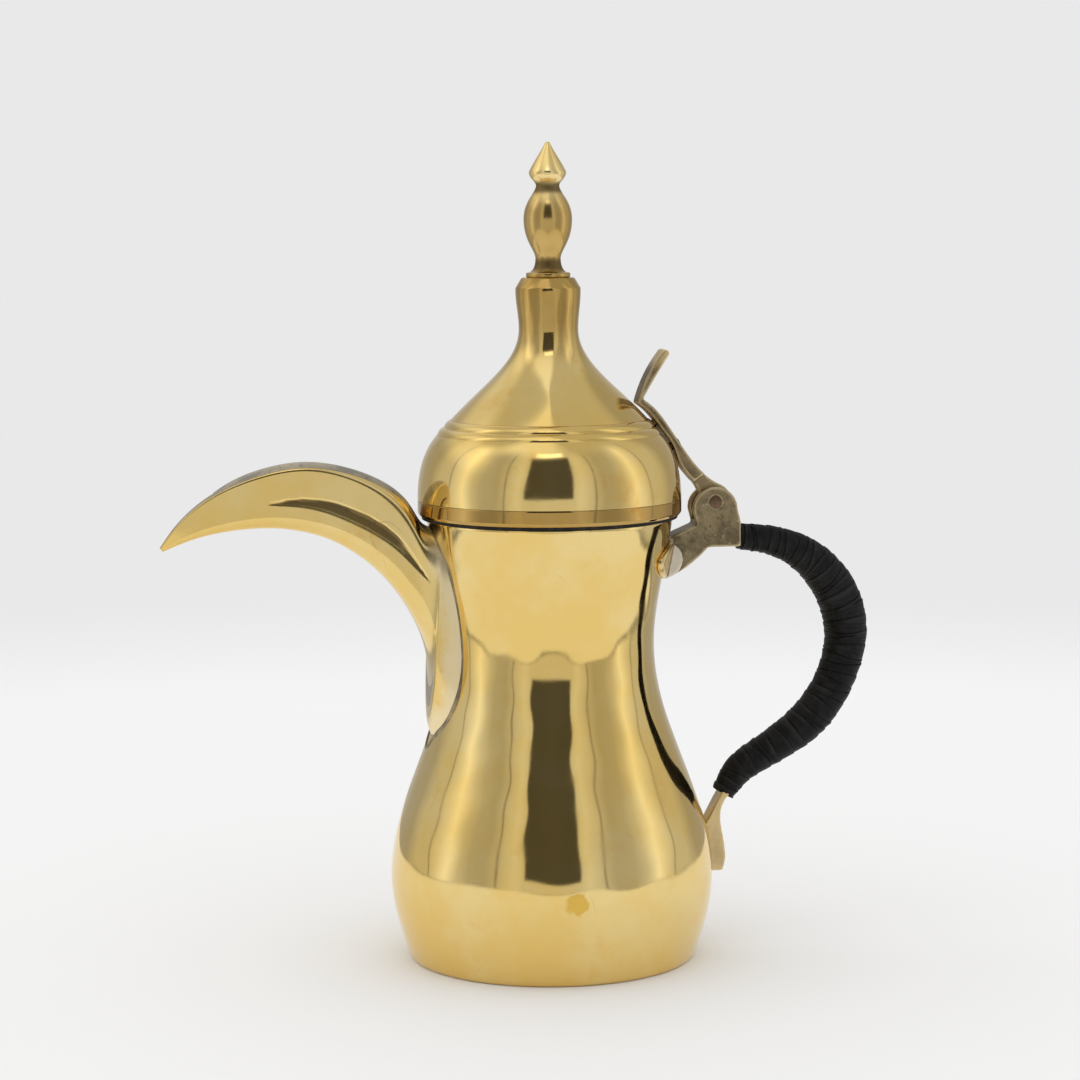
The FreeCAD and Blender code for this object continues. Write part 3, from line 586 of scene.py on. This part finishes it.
brink = brink * np.clip((2.4 - share * outer_end) / 0.4, 0.0, 1.0)
lip_mark = np.concatenate((brink, np.ones((rows, half))), axis=1)
beak = closed("spout_beak_form", beak_points, tube_faces(rows, half), 50.0,
              root=root_gap, flute=flute_mark, lip=lip_mark)
# The flute mark darkens the crescents as painted shade.
spout_brass = polished_brass("spout_brass", 0.75, grime_and_painted_shade="flute", haze="root", tinned="lip", satin=0.09)
fitted(beak, "pot", "brass_polished", spout_brass, "spout_beak")

# Solder: a low uneven bead of soft tin along the joint of beak and neck, run on by hand and gone
# grey-brown, with a short tail where it ran down below the keel.
tail_drop, tail_spread = 5.0, 0.045
bead_half, bead_height, bead_sides = 1.6, 0.8, 16
course = np.linspace(0.0, 1.0, half)
joint = beak_outside[-1].copy()
joint_out = joint * (1.0, 1.0, 0.0)
joint_out /= np.linalg.norm(joint_out, axis=1)[:, None]
joint[:, 2] -= tail_drop * np.exp(-((course - 0.5) / tail_spread)**2)
joint[:, :2] = joint_out[:, :2] * body_radius(joint[:, 2])[:, None]
joint_run = np.gradient(joint, axis=0)
joint_run /= np.linalg.norm(joint_run, axis=1)[:, None]
joint_side = np.cross(joint_run, joint_out)
bead = 0.62 + 0.16 * np.sin(23.0 * course) + 0.10 * np.sin(61.0 * course + 1.0)
bead = bead * np.sin(np.pi * course)**0.35 + 0.01
turn = np.linspace(0.0, 2 * np.pi, bead_sides, endpoint=False)[:, None]
bead_points = (joint[:, None] + (joint_side * (bead_half * bead)[:, None])[:, None] * np.cos(turn)
               + (joint_out * (bead_height * bead)[:, None])[:, None] * np.sin(turn))
solder = closed("spout_solder", bead_points, grid_faces(half, bead_sides, wrap_columns=True))

# Spout cover: a narrow domed strip laid on the beak's lips from the mouth to the neck, grey
# from the tin that holds it. The solder is finished here too, in a darker tin.
cover_rise, cover_start, cover_onset = 1.7, 2.0, 0.9


def cover_at(station, across):
    """Point of the strip: across its width the crown falls off with a power of the share from the middle."""
    foot = spout_at(station, np.ones_like(station))
    keel = spout_at(station, np.zeros_like(station))
    run = (foot - keel) * (1, 0, 1)
    run = run / np.linalg.norm(run, axis=-1)[..., None]
    width = foot[..., 1] * across
    onset = np.clip((station - cover_start) / cover_onset, 0.0, 1.0)
    crown = cover_rise * (1 - np.abs(across)**2.4) * (0.25 + 0.75 * onset * (2 - onset)) + 0.05
    middle = foot * (1, 0, 1)
    place = middle + run * crown[..., None]
    place[..., 1] = width
    return place


cover_rows, cover_half = 120, 25
across = np.sin(np.linspace(-np.pi / 2, np.pi / 2, cover_half))
cover_end = root_station(across, cover_at)
share = np.linspace(0.0, 1.0, cover_rows)[:, None]
station = cover_start + share * (cover_end - cover_start)
cover_top = cover_at(station, across + 0.0 * share)
foot = spout_at(station, np.ones_like(station))
cover_under = foot * (1, 0, 1) + np.stack((0 * station, foot[..., 1] * across, 0.04 + 0 * station), -1)
cover_points = np.concatenate((cover_top, cover_under[:, ::-1]), axis=1)
cover = closed("spout_cover_form", cover_points, tube_faces(cover_rows, cover_half), 50.0)


def tinned_brass(name, dark=(0.36, 0.33, 0.27), pale=(0.56, 0.49, 0.36)):
    """Brass greyed by tin: matt grey-brown with worn gold and dark specks."""
    material, start = recipe(name)
    place = start.make("TexCoord", out="Object")
    drift = clouds(start, place, 90.0, 5.0)
    fleck = clouds(start, place, 520.0, 3.0, 0.7)
    colour = blended(ramped(drift, 0.38, 0.62), dark + (1.0,), pale + (1.0,))
    colour = blended(ramped(fleck, 0.58, 0.74) * 0.7, colour, (0.10, 0.08, 0.05, 1.0))
    relief = start.make("Bump", (), {"Strength": 0.35, "Distance": 0.00012, "Height": fleck + drift})
    metal = start.make("BsdfPrincipled", (), {
        "Base Color": colour, "Metallic": 0.9, "Roughness": 0.26 + drift * 0.25, "Normal": relief})
    start.make("OutputMaterial", (), {"Surface": metal})
    return material


cover_tin = tinned_brass("spout_tin")
fitted(cover, "pot", "brass_tinned", cover_tin, "spout_cover")
fitted(solder, "pot", "brass_tinned", tinned_brass("solder_tin", (0.17, 0.14, 0.09), (0.40, 0.33, 0.21)))

# Handle casting: sand-cast brass with soft edges, brown and pitted, filed bright in places; its foot
# is riveted to the neck, its fork carries the hinge and its tail is riveted to the belly.
foot_half, edge_rounds = 12.0, 7


def softened(node, name, voxel, rounds):
    """Copy of a node's solid with its seams merged, laid out again on a fine voxel grid and smoothed. The
    attribute edge is how far each point stands out from the mean of its neighbours, in voxels."""
    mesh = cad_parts[node].data.copy()
    seams = bmesh.new()
    seams.from_mesh(mesh)
    bmesh.ops.remove_doubles(seams, verts=seams.verts, dist=1e-6)
    seams.to_mesh(mesh)
    seams.free()
    form = bpy.data.objects.new(name + "_blank", mesh)
    bpy.context.collection.objects.link(form)
    grain = form.modifiers.new("grain", "REMESH")
    grain.mode = "VOXEL"
    grain.voxel_size = voxel * MM
    soft = form.modifiers.new("soft", "SMOOTH")
    soft.factor = 0.5
    soft.iterations = rounds
    piece = settled(form, name)
    piece.data.shade_smooth()
    count = len(piece.data.vertices)
    place, out = np.empty(count * 3), np.empty(count * 3)
    ends = np.empty(len(piece.data.edges) * 2, dtype=int)
    piece.data.vertices.foreach_get("co", place)
    piece.data.vertices.foreach_get("normal", out)
    piece.data.edges.foreach_get("vertices", ends)
    place, out, ends = place.reshape(-1, 3), out.reshape(-1, 3), ends.reshape(-1, 2)
    both = np.vstack((ends, ends[:, ::-1]))
    share = 1.0 / np.maximum(np.bincount(both[:, 0], minlength=count), 1)
    total = np.column_stack([np.bincount(both[:, 0], axis[both[:, 1]], count) for axis in place.T])
    edge = np.einsum("ij,ij->i", place - total * share[:, None], out) / (voxel * MM)
    for _ in range(edge_rounds):
        edge = 0.5 * edge + 0.5 * share * np.bincount(both[:, 0], edge[both[:, 1]], count)
    piece.data.attributes.new("edge", "FLOAT", "POINT").data.foreach_set("value", edge.astype(np.float32))
    return piece


def cast_brass(name, face=(0.31, 0.245, 0.138), dark=(0.10, 0.076, 0.042), filed=False, pitted=1.0,
               polish=None):
    """Dull cast brass: brown skin, dark pits and small bright flecks where it has been handled. It may be
    filed on the foot's ends; polish gives the two heights between which handling turns it bright."""
    material, start = recipe(name)
    place = start.make("TexCoord", out="Object")
    drift = clouds(start, place, 75.0, 5.0, 0.65)
    pits = clouds(start, place, 620.0, 4.0, 0.7)
    colour = blended(ramped(drift, 0.36, 0.66), dark + (1.0,), face + (1.0,))
    colour = blended(ramped(pits, 0.56, 0.70) * (0.75 * pitted), colour, (0.06, 0.042, 0.022, 1.0))
    colour = blended((1.0 - ramped(pits, 0.30, 0.40)) * (0.55 * pitted), colour, (0.66, 0.56, 0.40, 1.0))
    worn = marked(start, "edge")
    colour = blended(ramped(worn, 0.018, 0.06) * 0.75, colour, (0.66, 0.54, 0.32, 1.0))
    dull = 0.34 + drift * 0.22
    if polish:
        rubbed = ramped(along(place, upward), *polish)
        colour = blended(rubbed * (0.30 + drift * 0.8), colour, (0.78, 0.59, 0.29, 1.0))
        dull = dull - rubbed * 0.12
    if filed:
        y = start.math("ABSOLUTE", along(place, np.array((0.0, 1000.0, 0.0))))
        facet = ramped(y, foot_half - 0.7, foot_half - 0.2)
        facet = facet * (1.0 - ramped(y, foot_half + 0.1, foot_half + 0.4))
        colour = blended(facet * (0.55 + drift * 0.4), colour, (0.80, 0.72, 0.58, 1.0))
        rim = ramped(y, foot_half + 0.2, foot_half + 0.8)
        colour = blended(rim * 0.85, colour, (0.80, 0.58, 0.24, 1.0))
        dull = dull - rim * 0.26 - facet * 0.12
    relief = start.make("Bump", (), {
        "Strength": 0.5 * pitted, "Distance": 0.0002, "Height": pits + drift * 0.6})
    metal = start.make("BsdfPrincipled", (), {
        "Base Color": colour, "Metallic": 0.92, "Roughness": dull, "Normal": relief})
    start.make("OutputMaterial", (), {"Surface": metal})
    return material


casting_brass = cast_brass("casting_brass", filed=True, polish=(0.066, 0.060))
casting = softened("handle_casting", "handle_casting_form", voxel=0.5, rounds=5)
fitted(casting, "pot", "brass_cast", casting_brass, "handle_casting")
rivet_brass = cast_brass("rivet_brass", (0.48, 0.36, 0.19))
painted(rivet_brass, "foot_rivets", "tail_rivet")

# Grip: black leather strip wound round the casting's bar over a padding, each turn lapping the
# one before it, so that its edges make an uneven screw of small steps. Stations along the bar:
# share of the straight way between its ends, bulge away from that way, radius of the grip.
grip_start = np.array((70.5, 154.4))
grip_end = np.array((body_radius(51.4) + 8.5, 57.9))
grip_stations = np.array((
    (0.0, 0.0, 4.75), (0.0215, 16.9, 5.7), (0.129, 33.7, 7.5), (0.333, 43.2, 8.0), (0.52, 41.0, 7.4),
    (0.694, 31.6, 7.3), (0.843, 13.4, 6.1), (0.913, 5.0, 5.5), (1.0, 0.0, 4.2)))
grip_run = grip_end - grip_start
grip_out = np.array((-grip_run[1], grip_run[0])) / np.linalg.norm(grip_run)
bar = grip_start + grip_stations[:, :1] * grip_run + grip_stations[:, 1:2] * grip_out
bar_knots = np.insert(np.cumsum(np.linalg.norm(np.diff(bar, axis=0), axis=1)), 0, 0.0)
bar_course = np.column_stack((bar, grip_stations[:, 2]))
lap_turns, lap_columns = 41, 72
lap_shares = np.array((0.0, 0.035, 0.09, 0.2, 0.35, 0.5, 0.65, 0.8, 0.9, 0.965))
lap_heights = np.array((-0.07, 0.22, 0.27, 0.25, 0.21, 0.16, 0.11, 0.06, 0.01, -0.04))
turn_of = (np.arange(-2, lap_turns + 3)[:, None] + lap_shares).ravel()
lap_of = np.tile(lap_heights, lap_turns + 5)
angle = np.linspace(0.0, 2 * np.pi, lap_columns, endpoint=False)
wound = turn_of[:, None] - angle / (2 * np.pi)
grip_length = bar_knots[-1]
run = grip_length * (wound / lap_turns + 0.0048 * np.sin(2.3 * wound) + 0.0024 * np.sin(5.1 * wound + 1.0))
run = run + 0.9 * np.sin(angle + 1.9 * turn_of[:, None])
over = np.maximum(run - grip_length, 0.0) + np.maximum(-run, 0.0)
course = spline(bar_knots, bar_course, np.clip(run, 0.0, grip_length))
step_on = spline(bar_knots, bar_course, np.clip(run + 0.05, 0.05, grip_length))
step_back = spline(bar_knots, bar_course, np.clip(run - 0.05, 0.0, grip_length - 0.05))
lead = step_on[..., :2] - step_back[..., :2]
lead = lead / np.linalg.norm(lead, axis=-1)[..., None]
uneven = 0.16 * np.sin(3 * angle + 2.1 * turn_of[:, None]) + 0.12 * np.sin(2 * angle - 5.3 * turn_of[:, None])
radius = np.maximum(course[..., 2] - 0.15 + lap_of[:, None] * (1.0 + uneven) + 0.2 * uneven - over, 0.02)
grip_points = np.stack((course[..., 0] - lead[..., 1] * np.cos(angle) * radius, np.sin(angle) * radius,
                        course[..., 1] + lead[..., 0] * np.cos(angle) * radius), axis=-1)
lap_rows = len(turn_of)
index = np.arange(lap_rows * lap_columns).reshape(lap_rows, lap_columns)
step_rows = len(lap_shares)
first_column = np.vstack((np.broadcast_to(index[:1, :1], (step_rows, 1)), index[:-step_rows, :1]))
index = np.column_stack((index, first_column))
grip_faces = np.stack((index[:-1, :-1], index[:-1, 1:], index[1:, 1:], index[1:, :-1]), -1).reshape(-1, 4)
grip_faces = grip_faces[np.all(np.diff(np.sort(grip_faces, axis=1), axis=1) > 0, axis=1)]
lap_mark = lap_of[:, None] + 0.0 * angle
grip = closed("grip_wrap", grip_points, grip_faces, 60.0, lap=lap_mark, strand=wound)


def wound_leather(name):
    """Black leather: fine grain and creases, a little grey along the lapped edges, dark between the turns."""
    material, start = recipe(name)
    place = start.make("TexCoord", out="Object")
    grain = start.make("TexVoronoi", (), {"Vector": place, "Scale": 1500.0}, "Distance")
    crease = clouds(start, place, 240.0, 5.0, 0.7)
    drift = clouds(start, place, 60.0, 4.0)
    lap = marked(start, "lap")
    strand = marked(start, "strand")
    four_to_a_turn = 25.13
    ribs = start.math("SINE", strand * four_to_a_turn + crease * 5.0)
    black, worn_black = (0.004, 0.004, 0.004, 1.0), (0.011, 0.011, 0.011, 1.0)
    colour = blended(ramped(crease + drift * 0.6, 0.6, 1.0), black, worn_black)
    scuffed = ramped(lap, 0.20, 0.27) * ramped(drift, 0.42, 0.60) * 0.5
    colour = blended(scuffed, colour, (0.030, 0.029, 0.028, 1.0))
    colour = blended(1.0 - ramped(lap, -0.06, 0.02), colour, (0.002, 0.002, 0.002, 1.0))
    relief = start.make("Bump", (), {
        "Strength": 0.6, "Distance": 0.00035, "Height": crease + grain * 0.35 + ribs * 0.22})
    leather = start.make("BsdfPrincipled", (), {
        "Base Color": colour, "Roughness": 0.34 + crease * 0.25, "Specular IOR Level": 0.13,
        "Normal": relief})
    start.make("OutputMaterial", (), {"Surface": leather})
    return material


grip_leather = wound_leather("grip_leather")
fitted(grip, "pot", "leather_black", grip_leather, "grip_winding", "grip_padding")

# Hinge pin: a plain round brass pin through the fork and the strap's leaf, dark with age, peened
# to a low dome at each end so that it can't slide out.
pivot_x, pivot_z, pin_radius, fork_half, pin_columns = 61.0, 168.0, 2.1, 6.0, 40
pin_head = np.array(((pin_radius, -0.06), (2.35, -0.02), (2.0, 0.12), (1.2, 0.38), (1e-3, 0.5)))
pin_head = pin_head + (0.0, fork_half)
pin_outline = np.vstack((pin_head[::-1] * (1.0, -1.0), pin_head))
pin_x, pin_y, pin_z = np.moveaxis(turned(pin_outline, pin_columns), -1, 0)
pin_points = np.stack((pin_x + pivot_x, pin_z, pin_y + pivot_z), axis=-1)
pin = closed("hinge_pin_form", pin_points, grid_faces(len(pin_outline), pin_columns, wrap_columns=True))
fitted(pin, "pot", "brass_pin", cast_brass("pin_brass", (0.21, 0.13, 0.08), (0.10, 0.06, 0.035)), "hinge_pin")

# Lid: a bell spun from sheet brass, with two raised rings at its shoulder, drawn in to a chimney
# with a collar, and browner towards its top.
band_radius, band_top, lid_wall = 48.4, 170.3, 1.4
dome_foot = band_top + 0.05
ring_foot, ring_head = np.array((41.0, 193.9)), np.array((36.0, 199.3))
ring_run = (ring_head - ring_foot) / np.linalg.norm(ring_head - ring_foot)
ring_out = np.array((ring_run[1], -ring_run[0]))
neck, collar = np.array((10.85, 232.3)), np.array((11.9, 245.8))
up = np.array((0.0, 1.0))


def bell(inset, count):
    """Dome, shoulder and cone as three cubic runs, drawn in by the sheet's thickness for the inside."""
    slip = -inset * ring_out
    foot, head = ring_foot + slip, ring_head + slip
    start = np.array((band_radius - inset * lid_wall / wall, dome_foot))
    top = neck - (inset, 0.0)
    dome = bowed(start, start + 10.0 * up, foot - ring_run * 7.0, foot, count)
    cone = bowed(head, head + ring_run * 18.0, top - 12.0 * up, top, count)
    return dome, cone


ring_rise, ring_sink = 0.62, 0.14
dome, cone = bell(0.0, 120)
swell = np.linspace(0.0, 1.0, 90)
rings = ring_foot + swell[:, None] * (ring_head - ring_foot)
rings = rings + ring_out * (ring_rise * np.abs(np.sin(2 * np.pi * swell))**0.55 - ring_sink)[:, None]
collar_line = bowed(neck, neck + 4.5 * up, collar - 4.5 * up, collar, 30)
stud_hole, lid_top, lid_ceiling = 2.45, 250.9, 249.4
collar_edge = np.array(((11.9, 247.0), (11.84, 247.25), (11.6, 247.6), (9.9, 250.5),
                        (9.4, lid_top), (stud_hole, lid_top)))
dome_in, cone_in = bell(wall, 60)
under = np.vstack(((stud_hole, lid_ceiling), (8.3, lid_ceiling), collar - (wall, 0.0),
                   cone_in[::-1], dome_in[::-1]))
lid_outline = np.vstack((evenly(dome, 56), rings, evenly(cone, 90), evenly(collar_line, 16), collar_edge,
                         evenly(under, 80)))
lid_points = waver(turned(lid_outline, 256), 0.035)
lid = closed("lid_bell", lid_points, grid_faces(*lid_points.shape[:2], True, True), 32.0)
fitted(lid, "lid", "brass_polished", polished_brass("lid_brass", 0.75, browned=(0.216, 0.236)), "lid_dome")

# Lid band: a plain ring of sheet brass soldered under the dome, chamfered at its foot and browner
# than the dome.
band_foot, band_bore = 164.4, 47.0
band_outline = np.array((
    (band_bore, band_foot), (47.6, band_foot), (47.86, band_foot + 0.15), (48.34, band_foot + 1.0),
    (band_radius, band_foot + 1.3), (band_radius, band_top - 0.45), (band_radius - 0.15, band_top - 0.1),
    (band_radius - 0.45, band_top), (band_bore, band_top), (band_bore, band_foot)))
band_points = waver(turned(evenly(band_outline, 90)[:-1], 256), 0.03)
band = closed("lid_band_form", band_points, grid_faces(*band_points.shape[:2], True, True), 32.0)
fitted(band, "lid", "brass_polished", polished_brass("band_brass", 1.0, shade=(0.62, 0.53, 0.41)), "lid_band")

# Seat ring: the sleeve of brass sheet inside the lid that drops into the neck, painted near black all
# over as shade, for the dark gap where it shows under the band.
gap_shade, start = recipe("seat_gap_shade")
place = start.make("TexCoord", out="Object")
mottle = clouds(start, place, 300.0, 4.0)
# Painted shade: the ring's colour is near black so that the gap under the band reads dark.
colour = blended(ramped(mottle, 0.45, 0.70), (0.006, 0.005, 0.004, 1.0), (0.035, 0.024, 0.012, 1.0))
rough_mottle = start.make("Bump", (), {"Strength": 0.4, "Distance": 0.0002, "Height": mottle})
skin = start.make("BsdfPrincipled", (), {
    "Base Color": colour, "Metallic": 0.2, "Roughness": 0.55 + mottle * 0.3, "Normal": rough_mottle})
start.make("OutputMaterial", (), {"Surface": skin})
painted(gap_shade, "lid_seat_ring")

# Finial: turned from brass bar as flange, bulb and arrow tip, brown in its hollows and lower down, with a
# painted highlight: its brass paler and lighter at its tip and upper bulb. Its stud goes through the top
# of the lid and is held inside by a washer and a nut.
foot_z, stud_foot, stud_radius, knob_columns = 250.95, 240.95, 2.4, 128
knob = [np.array((
    (0.02, stud_foot), (stud_radius, stud_foot), (stud_radius, foot_z), (7.9, foot_z),
    (8.1, foot_z + 0.25), (8.1, foot_z + 1.35), (7.85, foot_z + 1.7)))]
levels = np.array(((8.1, 1.7), (4.6, 6.8), (8.85, 21.0), (4.25, 33.2), (6.8, 38.0), (0.9, 49.0)))
flange, low_neck, bulb, high_neck, arrow, tip = levels + (0.0, foot_z)
knob.append(bowed(flange - (0.35, 0.0), flange - (2.55, 0.0), low_neck - 2.55 * up, low_neck, 30))
knob.append(bowed(low_neck, low_neck + 2.98 * up, bulb - 7.95 * up, bulb, 40)[1:])
knob.append(bowed(bulb, bulb + 6.83 * up, high_neck - 2.56 * up, high_neck, 40)[1:])
knob.append(bowed(high_neck, high_neck + 1.44 * up, arrow - 2.4 * up, arrow, 24)[1:])
knob.append(bowed(arrow + (-0.05, 0.25), arrow + (-1.6, 3.6), tip + (1.35, -3.4), tip + (0.0, -0.4), 30))
knob.append(np.array(((0.55, tip[1] - 0.08), (0.02, tip[1]))))
knob_outline = np.vstack(knob)
knob_points = turned(knob_outline, knob_columns)
knob_rise = knob_outline[:, 1] - foot_z
hollows = np.exp(-((knob_rise - 4.6) / 3.2)**2) + np.exp(-((knob_rise - 32.6) / 2.6)**2)
knob_dirt = hollows[:, None] + np.zeros((1, knob_columns))
knob_faces = grid_faces(len(knob_outline), knob_columns, wrap_columns=True)
finial = closed("finial_form", knob_points, knob_faces, 45.0, dirt=knob_dirt)
# Painted highlight: the finial's brass is paler and no brown reaches its upper bulb and tip, standing for a
# lamp's reflection.
finial_brass = polished_brass("finial_brass", 0.6, grime_and_painted_shade="dirt", browned=(0.286, 0.274),
                              shade=(1.08, 1.12, 1.3), satin=0.12)
fitted(finial, "lid", "brass_polished", finial_brass, "finial")
painted(rivet_brass, "finial_washer", "finial_nut")

# Hinge strap: a cast brass arm riveted to the dome, its leaf between the fork's ears and its end
# bent up as a thumb rest, which handling keeps bright.
strap = softened("hinge_strap", "hinge_strap_form", voxel=0.32, rounds=14)
thumb_top = max(corner[2] for corner in strap.bound_box)
strap_brass = cast_brass("strap_brass", (0.36, 0.275, 0.155), (0.13, 0.095, 0.05), pitted=0.3,
                         polish=(thumb_top - 0.008, thumb_top - 0.003))
fitted(strap, "lid", "brass_cast", strap_brass, "hinge_strap")
painted(rivet_brass, "strap_rivets")
